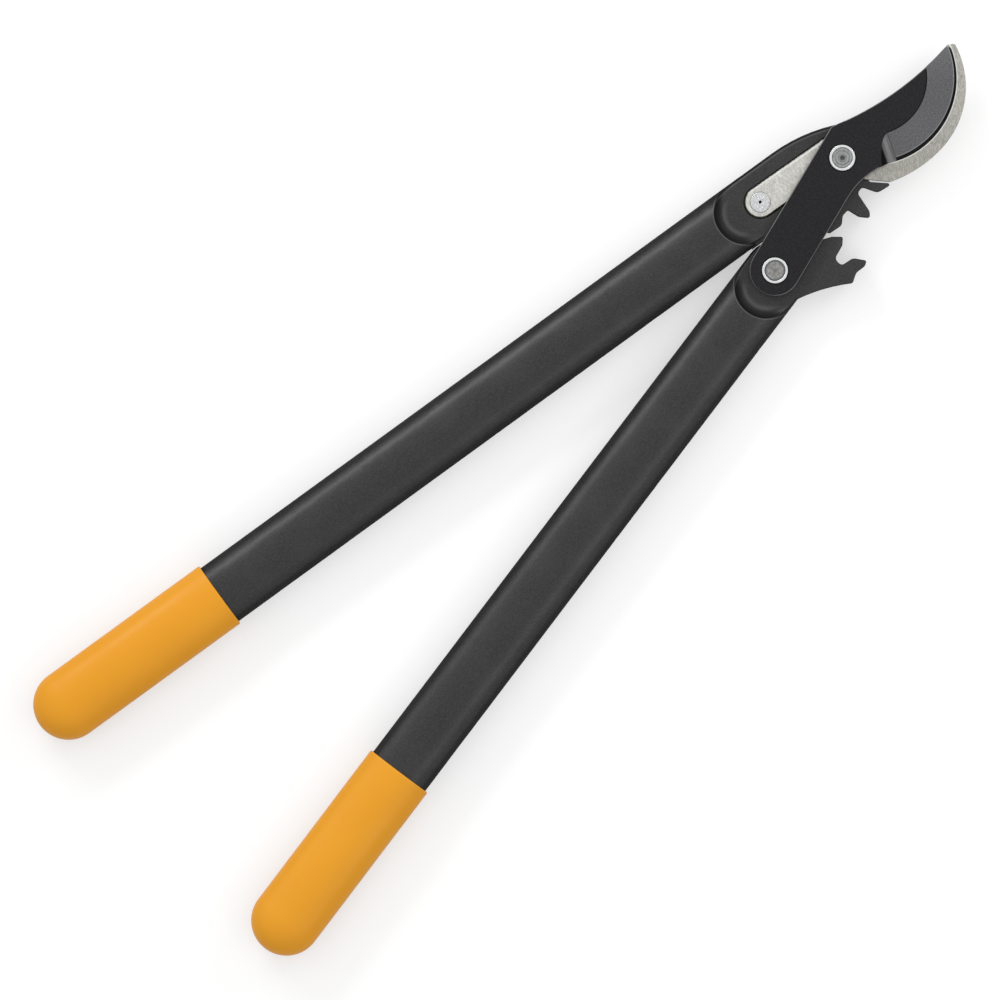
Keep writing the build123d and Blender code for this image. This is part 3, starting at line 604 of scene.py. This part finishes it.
def brow_masks(net, axes, upright):
    """Painted highlight on the flat's border along the brow and painted shade on the flank below it, each 0
    to 1.

    The brow is an arc that leaves the upper tube's straight side and runs into the round nose. Behind its
    start the run along the handle counts as 0, so the border follows the straight side there.
    """
    forward, across = plan_axes(-HANDLE_TILT)
    level = axis_side("upper_grip", across) + TUBE_HALF - BROW_RADIUS
    drop = MAIN_PIVOT @ across - level
    start = MAIN_PIVOT @ forward - np.sqrt((BROW_RADIUS - NOSE_RADIUS) ** 2 - drop**2)
    print("brow starts", round(float(start) / MM, 1), "mm along the upper handle")
    along = net.dot(axes["X"], axes["Y"], forward)
    run = net.math("MAXIMUM", net.math("SUBTRACT", along, start), 0.0)
    rise = net.math("SUBTRACT", net.dot(axes["X"], axes["Y"], across), level)
    near_edge = net.ramp(net.length(run, rise), BORDER_START, BORDER_FULL)
    on_flat = net.ramp(upright, 0.9, 0.98)
    on_flank = net.fade(upright, 0.6, 0.9)
    outer_side = net.product(net.ramp(axes["X"], *HEAD_FROM_X), net.ramp(axes["Y"], *OUTER_FROM_Y))
    return net.product(near_edge, on_flat, outer_side), net.product(on_flank, outer_side)


# %% Charcoal plastic of the handles
STEEP_SHADE = 0.5
SHEEN = 0.55
# Painted highlight colour, and painted shade colour for the steep flanks and the scoop walls
PAINTED_HIGHLIGHT_PLASTIC = linear(84, 84, 83)
PAINTED_SHADE_PLASTIC = linear(26, 26, 26)

handle_plastic, net, shader, place = finish(
    "handle_plastic", Specular_IOR_Level=0.02, Coat_Roughness=0.34, Coat_IOR=1.5)
axes = net.axes(place)
grain = place_group(net, "moulded_grain", Place=place, Fineness=1300.0)
marks = place_group(net, "handling_marks", Place=place, Spread=45.0)
upright = net.math("ABSOLUTE", net.axes(net.add("TexCoord").outputs["Normal"])["Z"])
scoop_foot_highlight, scoop_wall_shade, scoop_rim_highlight = scoop_masks(net, axes)
brow_highlight, brow_flank_shade = brow_masks(net, axes, upright)
tone = net.mix(grain["Fleck"], linear(44, 44, 44), linear(59, 59, 59))
for share, colour in (
    (net.product(marks["Smudge"], 0.25), linear(60, 60, 59)),
    # Painted shade on the steep flanks, then painted highlights and shade in the scoops and along the brow
    (net.ramp(upright, 0.3, 0.85, STEEP_SHADE, 0.0), PAINTED_SHADE_PLASTIC),
    (net.product(scoop_foot_highlight, 0.7), linear(82, 82, 81)),
    (net.product(scoop_wall_shade, 0.7), PAINTED_SHADE_PLASTIC),
    (net.product(scoop_rim_highlight, 0.8), PAINTED_HIGHLIGHT_PLASTIC),
    (net.product(brow_highlight, 0.8), PAINTED_HIGHLIGHT_PLASTIC),
    (net.product(brow_flank_shade, 0.7), linear(18, 18, 18)),
):
    tone = net.mix(share, tone, colour)
net.link(tone, shader.inputs["Base Color"])
net.link(net.ramp(marks["Drift"], 0, 1, 0.5, 0.6), shader.inputs["Roughness"])
sheen = net.product(net.ramp(upright, 0.66, 0.82, 0.0, SHEEN), net.ramp(marks["Smudge"], 0, 1, 0.9, 1.0))
# The coat also thins where the wall is painted shade
off_scoop_wall = net.inverse(net.product(scoop_wall_shade, 0.8))
net.link(net.product(sheen, off_scoop_wall), shader.inputs["Coat Weight"])
bump(net, shader, grain["Height"], 0.22, 0.06 * MM)
print(handle_plastic.name, "has", len(net.tree.nodes), "nodes")

# %% Orange of the grips
grip_orange, net, shader, place = finish("grip_orange", Specular_IOR_Level=0.2)
grain = place_group(net, "moulded_grain", Place=place, Fineness=1500.0)
marks = place_group(net, "handling_marks", Place=place, Spread=28.0)
tone = net.mix(marks["Drift"], linear(232, 157, 36), linear(236, 162, 40))
rubbed = net.mix(net.product(marks["Smudge"], 0.3), tone, linear(228, 152, 34))
net.link(rubbed, shader.inputs["Base Color"])
net.link(net.ramp(marks["Smudge"], 0, 1, 0.36, 0.44), shader.inputs["Roughness"])
bump(net, shader, grain["Height"], 0.12, 0.04 * MM)
print(grip_orange.name, "has", len(net.tree.nodes), "nodes")

# %% [markdown]
# Blade
#
# One plate carries three finishes: a black non-stick coat on the body, a satin ground bevel, and a
# narrow honed edge that is painted almost black, as painted shade and shadow. They differ by place, so the
# material measures where it is: the distance from the centre that the bevel was ground about, and how far
# below the front face. The grinding lines run square to the edge, so their noise is stretched in polar
# coordinates. Where the wheel ran out at the heel, a strip of straight lines is left, which gets paler
# away from the bevel; past it, the steep end of the run-out is painted black, as shade. The coat has a
# painted shadow round each collar, and its chamfer a pale line that is bare worn steel and also a painted
# highlight.

# %% Where the blade was ground
blade_low, blade_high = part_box("blade")
CUT_CENTRE = (46.0 * MM, 22.6 * MM)
CUT_RADIUS = 52.8 * MM
GRIND_END = np.radians(-115.8)

blade_coat, net, shader, place = finish("blade_coat", Specular_IOR_Level=0.15)
axes = net.axes(place)
cut_x, cut_y = net.offset(axes, CUT_CENTRE)
reach = net.length(cut_x, cut_y)
bearing = net.math("ARCTAN2", cut_y, cut_x)
past = net.dot(cut_x, cut_y, (np.sin(GRIND_END), -np.cos(GRIND_END)))
print("blade is", round((blade_high[2] - blade_low[2]) / MM, 2), "mm thick")

# %% Masks: what was ground, honed or rubbed bare, and where shade and highlight are painted
BEVEL_START = 34.5 * MM
BEVEL_SIDE = 30 * MM  # beyond this distance from the cut's centre, bare metal is the bevel's
GROUND_FROM_X = 11.5 * MM
STEP = 1 * MM
COAT_DEPTH = 0.04 * MM
BLADE_EDGE = 0.5 * MM
STRIP_WIDTH = 6.2 * MM
HONE_AT_TIP = 1.2 * MM
HONE_AT_HEEL = 2.3 * MM

front, back = blade_high[2], blade_low[2]
below_front = net.fade(axes["Z"], front - 3 * COAT_DEPTH, front - COAT_DEPTH)
above_back = net.ramp(axes["Z"], back, back + COAT_DEPTH)
ahead = net.ramp(axes["X"], GROUND_FROM_X, GROUND_FROM_X + STEP)
near_edge = net.product(ahead, net.ramp(reach, BEVEL_SIDE, BEVEL_SIDE + STEP))
ground = net.product(below_front, above_back, near_edge)
on_chamfer = net.ramp(axes["Z"], front - BLADE_EDGE - 0.1 * MM, front - BLADE_EDGE)
# The chamfer's pale line is bare worn steel and also a painted highlight
worn_edge_and_highlight = net.product(below_front, on_chamfer, net.inverse(near_edge))
strip = net.ramp(past, -0.2 * MM, 0.2 * MM)
# The steep wedge past the strip is painted black, as shade
wedge = net.ramp(past, STRIP_WIDTH - 0.8 * MM, STRIP_WIDTH + 0.9 * MM)
before_strip = net.inverse(net.ramp(past, 0.4 * MM, 0.8 * MM))
# The hone band is painted nearly black, as painted shade and shadow along the edge
hone_width = net.ramp(bearing, GRIND_END, 0.0, HONE_AT_HEEL, HONE_AT_TIP)
past_hone = net.math("ADD", net.math("SUBTRACT", reach, CUT_RADIUS), hone_width)
hone = net.product(net.ramp(past_hone, -0.1 * MM, 0.1 * MM), before_strip)
hone_lip = net.ramp(past_hone, -0.7 * MM, -0.3 * MM)
bevel_lip = net.fade(reach, BEVEL_START + 0.1 * MM, BEVEL_START + 0.6 * MM)
bright_lip = net.math("MAXIMUM", hone_lip, bevel_lip)
# A darker line on the coat along the bevel's start, and a painted shadow round each collar
coat_lip = net.ramp(reach, BEVEL_START - 0.9 * MM, BEVEL_START - 0.3 * MM)
dark_lip_and_collar_shadow = net.product(coat_lip, before_strip, ahead)
for node in ("main_pivot_ring", "gear_pivot_ring"):
    ring_low, ring_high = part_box(node)
    ring_radius = (ring_high[0] - ring_low[0]) / 2
    from_axis = net.length(*net.offset(axes, middle(node)))
    collar_shadow = net.fade(from_axis, ring_radius + 0.3 * MM, ring_radius + 1.1 * MM)
    dark_lip_and_collar_shadow = net.math("MAXIMUM", dark_lip_and_collar_shadow, collar_shadow)
print("masks take", len(net.tree.nodes), "nodes")

# %% Tones of the blade
PAINTED_SHADE_BLACK = linear(24, 24, 25)

speckle_place = net.add(
    "CombineXYZ", None, X=net.product(bearing, 4.0), Y=net.product(reach, 30.0)).outputs[0]
streak_place = net.add("CombineXYZ", None, X=past, Y=net.product(reach, 0.03)).outputs[0]
steel = place_group(net, "ground_grain", Lines=speckle_place, Fineness=22.0)
streak = place_group(net, "ground_grain", Lines=streak_place, Fineness=1300.0)
grain = place_group(net, "moulded_grain", Place=place, Fineness=1000.0)
marks = place_group(net, "handling_marks", Place=place, Spread=60.0)
coat = net.mix(grain["Fleck"], linear(28, 28, 30), linear(39, 39, 41))
# The dark line by the bevel and the painted shadow round the collars
coat = net.mix(dark_lip_and_collar_shadow, coat, linear(14, 14, 15))
# Pale chamfer line: worn steel and painted highlight
coat = net.mix(worn_edge_and_highlight, coat, linear(122, 122, 124))
satin = net.mix(steel["Line"], linear(84, 84, 86), linear(117, 117, 119))
satin = net.mix(net.product(bright_lip, 0.6), satin, linear(156, 156, 158))
near_lines = net.mix(streak["Line"], linear(72, 72, 73), linear(114, 114, 115))
far_lines = net.mix(streak["Line"], linear(86, 86, 87), linear(138, 138, 139))
wheel_lines = net.mix(net.ramp(past, 1.2 * MM, 3.6 * MM), near_lines, far_lines)
# Painted shade: the steep wedge and the hone are nearly black
metal = net.mix(wedge, net.mix(strip, satin, wheel_lines), PAINTED_SHADE_BLACK)
metal = net.mix(hone, metal, PAINTED_SHADE_BLACK)
net.link(net.mix(ground, coat, metal), shader.inputs["Base Color"])
coat_rough = net.ramp(marks["Smudge"], 0, 1, 0.5, 0.58)
steel_rough = net.ramp(steel["Mottle"], 0, 1, 0.36, 0.44)
net.link(net.blend(ground, coat_rough, steel_rough), shader.inputs["Roughness"])
net.link(net.product(net.math("MAXIMUM", ground, worn_edge_and_highlight), 0.9), shader.inputs["Metallic"])
bump(net, shader, net.blend(ground, grain["Height"], steel["Line"]), 0.14, 0.04 * MM)
print(blade_coat.name, "has", len(net.tree.nodes), "nodes")

# %% [markdown]
# Bright metal
#
# The hook is plain steel, brushed across its arm and a little stained, warmer than chrome. Its arm's bevel
# is toned darker and yellower, its upper edge carries a painted highlight, and a painted highlight line
# runs on the jaw beside the shut blade's edge. The rings are polished. The pins and the rivet are zinc
# bright, with marks that circle their own axes; the gear pin's rim and the rivet's centre dimple are
# painted darker, as shade.

# %% Strokes on the hook
SLANTS = {"jaw": np.radians(45.6), "arm": np.radians(81.6)}
STROKE_LENGTH = 4.5  # times a stroke's width
JAW_FROM_X = (-20 * MM, 5 * MM)
TIP_FROM_X = (45 * MM, 80 * MM)

hook_steel, net, shader, place = finish("hook_steel", Metallic=1.0)
axes = net.axes(place)
strokes = {}
for part, slant in SLANTS.items():
    turned = net.add("Mapping", {"vector_type": "TEXTURE"}, Vector=place, Rotation=(0, 0, slant),
                     Scale=(STROKE_LENGTH, 1.0, 1.0))
    strokes[part] = place_group(net, "ground_grain", Lines=turned.outputs[0], Fineness=2400.0)
marks = place_group(net, "handling_marks", Place=place, Spread=120.0)
on_jaw = net.ramp(axes["X"], *JAW_FROM_X)
jaw = net.mix(strokes["jaw"]["Line"], linear(144, 143, 137), linear(206, 204, 197))
tip = net.mix(strokes["jaw"]["Line"], linear(158, 157, 150), linear(216, 214, 207))
arm = net.mix(strokes["arm"]["Line"], linear(190, 189, 183), linear(248, 247, 242))
jaw = net.mix(net.ramp(axes["X"], *TIP_FROM_X), jaw, tip)
stained = net.mix(net.product(marks["Smudge"], 0.25), net.mix(on_jaw, arm, jaw), linear(178, 175, 163))
print("strokes on", list(strokes))

# %% Toned bevel, and painted highlights on the arm's edge and beside the blade's edge
ARM_EDGE_TILT = np.radians(-10.05)
ARM_BEVEL_TO_X = (-16 * MM, -14 * MM)
ARM_EDGE_TO_X = (0.0, 5 * MM)
HIGHLIGHT_LINE = (-0.6 * MM, -0.2 * MM, 0.3 * MM, 0.8 * MM)  # outwards from the shut blade's edge

hook_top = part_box("hook")[1][2]
on_bevel = net.fade(axes["Z"], hook_top - 0.12 * MM, hook_top - 0.04 * MM)
on_arm_bevel = net.product(on_bevel, net.fade(axes["X"], *ARM_BEVEL_TO_X))
# The arm's bevel is toned darker and yellower, in patches
bevel_patches = net.ramp(marks["Drift"], 0, 1, 0.6, 1.0)
bevel_toned = net.mix(net.product(on_arm_bevel, bevel_patches), stained, linear(158, 155, 133))

arm_normal = plan_axes(ARM_EDGE_TILT)[1]
hook_points = node_points("hook")
arm_reach = (hook_points[hook_points[:, 0] < 0] @ arm_normal).max()
toward_edge = net.dot(axes["X"], axes["Y"], arm_normal)
# Painted highlight along the arm's upper edge
arm_edge_highlight = net.product(net.ramp(toward_edge, arm_reach - 1.7 * MM, arm_reach - 1.3 * MM),
                       net.fade(axes["X"], *ARM_EDGE_TO_X))
past_edge = net.math("SUBTRACT", net.length(*net.offset(axes, CUT_CENTRE)), CUT_RADIUS)
# Painted highlight line on the jaw beside the shut blade's edge
blade_side_highlight = net.band(past_edge, *HIGHLIGHT_LINE)
# Painted highlights, laid over the toned steel
bright = net.math("MAXIMUM", net.product(blade_side_highlight, 0.85), arm_edge_highlight)
net.link(net.mix(bright, bevel_toned, linear(248, 247, 241)), shader.inputs["Base Color"])
net.link(net.ramp(strokes["jaw"]["Mottle"], 0, 1, 0.36, 0.46), shader.inputs["Roughness"])
bump(net, shader, net.blend(on_jaw, strokes["arm"]["Line"], strokes["jaw"]["Line"]), 0.12, 0.03 * MM)
print(hook_steel.name, "has", len(net.tree.nodes), "nodes")


# %% Turned and polished small parts
WOBBLE = 0.12 * MM
SPECK = linear(84, 86, 92)


def turned_steel(name, centre, dark, light, rough, rings, mottle, core=None, specks=0.0, rim=None):
    """Bright metal with rings round an axis over a mottle.

    rings is their number to a millimetre. core and rim are a radius in millimetres and a colour.
    """
    material, net, shader, place = finish(name, Metallic=1.0)
    spoke = net.length(*net.offset(net.axes(place), centre))
    blur = place_group(net, "handling_marks", Place=place, Spread=700.0)["Smudge"]
    shifted = net.math("MULTIPLY_ADD", blur, WOBBLE, spoke)
    wave = net.math("SINE", net.product(shifted, TURN * rings / MM))
    share = net.math("MULTIPLY_ADD", wave, 0.5 * (1 - mottle), 0.5)
    blotch = net.math("MULTIPLY_ADD", blur, mottle, net.product(share, 1 - mottle))
    tone = net.mix(blotch, linear(*dark), linear(*light))
    if specks:
        fine = place_group(net, "handling_marks", Place=place, Spread=1500.0)
        tone = net.mix(net.ramp(fine["Smudge"], 0.66, 0.9, 0.0, specks), tone, SPECK)
    if core:
        tone = net.mix(net.fade(spoke, 0.6 * core[0] * MM, core[0] * MM), tone, linear(*core[1]))
    if rim:
        tone = net.mix(net.ramp(spoke, rim[0] * MM, 1.12 * rim[0] * MM), tone, linear(*rim[1]))
    net.link(tone, shader.inputs["Base Color"])
    net.link(net.ramp(blotch, 0, 1, rough + 0.1, rough), shader.inputs["Roughness"])
    bump(net, shader, blotch, 0.2, 0.03 * MM)
    return material


CHROME = dict(dark=(240, 241, 242), light=(250, 250, 250), rough=0.26, rings=1.2, mottle=0.5)
main_pin_steel = turned_steel(
    "main_pin_steel", MAIN_PIVOT, dark=(186, 189, 187), light=(100, 103, 101), rough=0.3, rings=0.526,
    mottle=0.35, core=(2.0, (88, 91, 89)))
# The gear pin's darker rim band is painted shade on its rounded edge
gear_pin_steel = turned_steel(
    "gear_pin_steel", GEAR_PIVOT, dark=(140, 138, 134), light=(186, 183, 179), rough=0.32, rings=0.4,
    mottle=0.85, core=(1.6, (134, 132, 128)), rim=(5.0, (110, 115, 120)))
# The rivet's dark core is painted shade in its centre dimple
rivet_steel = turned_steel(
    "rivet_steel", HOOK_RIVET, dark=(222, 224, 227), light=(252, 252, 252), rough=0.2, rings=0.5,
    mottle=0.7, core=(0.95, (34, 34, 37)), specks=0.55)
ring_chrome = {
    "main_pivot_ring": turned_steel("main_ring_chrome", MAIN_PIVOT, **CHROME),
    "gear_pivot_ring": turned_steel("gear_ring_chrome", GEAR_PIVOT, **CHROME),
}
turned_finishes = (main_pin_steel, gear_pin_steel, rivet_steel, *ring_chrome.values())
print("turned finishes:", [material.name for material in turned_finishes])

# %% Hidden steel, brass and slip washer
ZINC = dict(dark=(168, 169, 170), light=(196, 197, 198), rough=0.3, rings=0.8, mottle=0.6)
hidden_metal = {
    "main_pivot_washer": turned_steel("main_washer_zinc", MAIN_PIVOT, **ZINC),
    "gear_pivot_washer": turned_steel("gear_washer_zinc", GEAR_PIVOT, **ZINC),
    "hook_rivet_washer": turned_steel("rivet_washer_zinc", HOOK_RIVET, **ZINC),
    "main_pivot_sleeve": turned_steel(
        "sleeve_steel", MAIN_PIVOT, (140, 141, 143), (176, 177, 178), rough=0.3, rings=1.0, mottle=0.4),
    "gear_pivot_bush": turned_steel(
        "bush_brass", GEAR_PIVOT, (168, 130, 70), (202, 164, 98), rough=0.32, rings=1.0, mottle=0.5),
}
slip_plastic, net, shader, place = finish("slip_plastic", Specular_IOR_Level=0.4)
grain = place_group(net, "moulded_grain", Place=place, Fineness=1500.0)
net.link(net.mix(grain["Fleck"], linear(30, 30, 31), linear(40, 40, 41)), shader.inputs["Base Color"])
net.link(net.ramp(grain["Height"], 0, 1, 0.5, 0.6), shader.inputs["Roughness"])
print("hidden pieces:", list(hidden_metal) + ["gear_thrust_washer"])


# %% Put each finish on its piece
def dress(piece, material):
    """Gives a piece one material."""
    piece.data.materials.clear()
    piece.data.materials.append(material)


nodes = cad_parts
for name in ("upper_handle", "lower_handle"):
    dress(nodes[name], handle_plastic)
for piece in grips.values():
    dress(piece, grip_orange)
dress(nodes["blade"], blade_coat)
dress(nodes["hook"], hook_steel)
dress(nodes["gear_thrust_washer"], slip_plastic)
for name, material in hidden_metal.items():
    dress(nodes[name], material)
for name, material in ring_chrome.items():
    dress(bpy.data.objects[name + "_collar"], material)
dress(bpy.data.objects["main_pivot_pin_turned"], main_pin_steel)
dress(bpy.data.objects["gear_pivot_pin_turned"], gear_pin_steel)
dress(rivet, rivet_steel)
print("materials:", len(bpy.data.materials))

# %% [markdown]
# Table, light and camera
#
# The table is a plain pale sheet. About half of its white comes from a glow that only the camera and
# mirrored rays see, so it reads as white without lighting the tool, and it keeps a soft shadow. The light
# is a white dome, dimmer towards the horizon, with three soft boxes. The strongest stands on the upper
# handle's side, and its reflection is the band along both tubes. The camera looks straight down from far
# away through a long lens, turned so that the tool lies from lower left to upper right.

# %% Pale table
TABLE_HALF = 6.0
SHEET_GLOW = 0.5
table_mesh = bpy.data.meshes.new("table_top")
corner = np.array([[-1, -1, 0], [1, -1, 0], [1, 1, 0], [-1, 1, 0]]) * TABLE_HALF
table_mesh.from_pydata(corner + np.array([0, 0, cad_box[0][2]]), [], [[0, 1, 2, 3]])
table = bpy.data.objects.new("table_top", table_mesh)
bpy.context.scene.collection.objects.link(table)
table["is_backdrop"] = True
table_white, net, shader, place = finish(
    "table_white", Roughness=0.9, Specular_IOR_Level=0.1, Emission_Strength=SHEET_GLOW)
haze = net.add("TexNoise", None, Vector=place, Scale=3.0, Detail=2.0)
sheet = net.mix(haze.outputs[0], linear(192, 192, 192), linear(195, 195, 195))
rays = net.add("LightPath").outputs
seen = net.math("MAXIMUM", rays["Is Camera Ray"], rays["Is Glossy Ray"])
seen = net.math("MAXIMUM", seen, rays["Is Transmission Ray"])
net.link(net.mix(seen, linear(176, 176, 176), sheet), shader.inputs["Base Color"])
net.link(net.mix(seen, (0, 0, 0, 1), (1, 1, 1, 1)), shader.inputs["Emission Color"])
dress(table, table_white)
print("table is", 2 * TABLE_HALF, "m wide")

# %% White dome
DOME_HORIZON = 0.38
DOME_TOP = 0.73
SIDE_GLOW = 0.3
SIDE_AIM = (0.866, 0.5)  # the y and z of the side that glows

world = bpy.data.worlds.new("studio_dome")
bpy.context.scene.world = world
world.use_nodes = True
dome = Network(world.node_tree)
sky = dome.axes(dome.add("TexCoord").outputs["Generated"])
side = dome.ramp(dome.dot(sky["Y"], sky["Z"], SIDE_AIM), 0.5, 1.0, 0.0, SIDE_GLOW)
glow = dome.math("ADD", dome.ramp(sky["Z"], 0.0, 0.6, DOME_HORIZON, DOME_TOP), side)
background = world.node_tree.nodes["Background"]
dome.link(glow, background.inputs["Strength"])
background.inputs["Color"].default_value = (1, 1, 1, 1)
print("dome strength:", DOME_HORIZON, "to", DOME_TOP)


# %% Three soft boxes
def soft_box(name, place, aim, size, power):
    """Rectangular lamp at a place, facing a point."""
    lamp = bpy.data.lights.new(name, "AREA")
    lamp.shape = "RECTANGLE"
    lamp.size, lamp.size_y = size
    lamp.energy = power
    holder = bpy.data.objects.new(name, lamp)
    bpy.context.scene.collection.objects.link(holder)
    holder.location = place
    holder.rotation_euler = (Vector(aim) - Vector(place)).to_track_quat("-Z", "X").to_euler()
    print(f"{name}: {power} W")


soft_box("upper_side_box", place=(0.1, 1.5, 0.9), aim=(0.1, 0, 0), size=(0.22, 1.2), power=10.5)
soft_box("lower_side_box", place=(0.0, -1.0, 1.0), aim=(0.0, 0, 0), size=(0.3, 0.9), power=2.0)
soft_box("tip_side_box", place=(0.9, -0.1, 0.75), aim=(-0.05, 0, 0), size=(0.3, 0.6), power=2.5)

# %% Long lens from above
VIEW_CENTRE = np.array([-294.9, -2.9, 14.2]) * MM
PICTURE_WIDTH = 610.0 * MM
PICTURE_TURN = np.radians(44.43)
CAMERA_DISTANCE = 8.0
camera = bpy.data.cameras.new("overhead")
camera.sensor_width = 36.0
camera.lens = camera.sensor_width * CAMERA_DISTANCE / PICTURE_WIDTH
camera.clip_end = 50.0
viewer = bpy.data.objects.new("overhead", camera)
bpy.context.scene.collection.objects.link(viewer)
viewer.location = VIEW_CENTRE + np.array([0, 0, CAMERA_DISTANCE])
viewer.rotation_euler = (0, 0, -PICTURE_TURN)
bpy.context.scene.camera = viewer
bpy.context.scene.view_settings.view_transform = "Standard"
print("lens:", round(camera.lens), "mm")

# %% Measure the dressed box against the CAD box, and close
visual_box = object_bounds()
growth = [round((b - a) / MM, 3) for a, b in zip(cad_box[1], visual_box[1])]
print("box grows by", growth, "mm at the top corner")
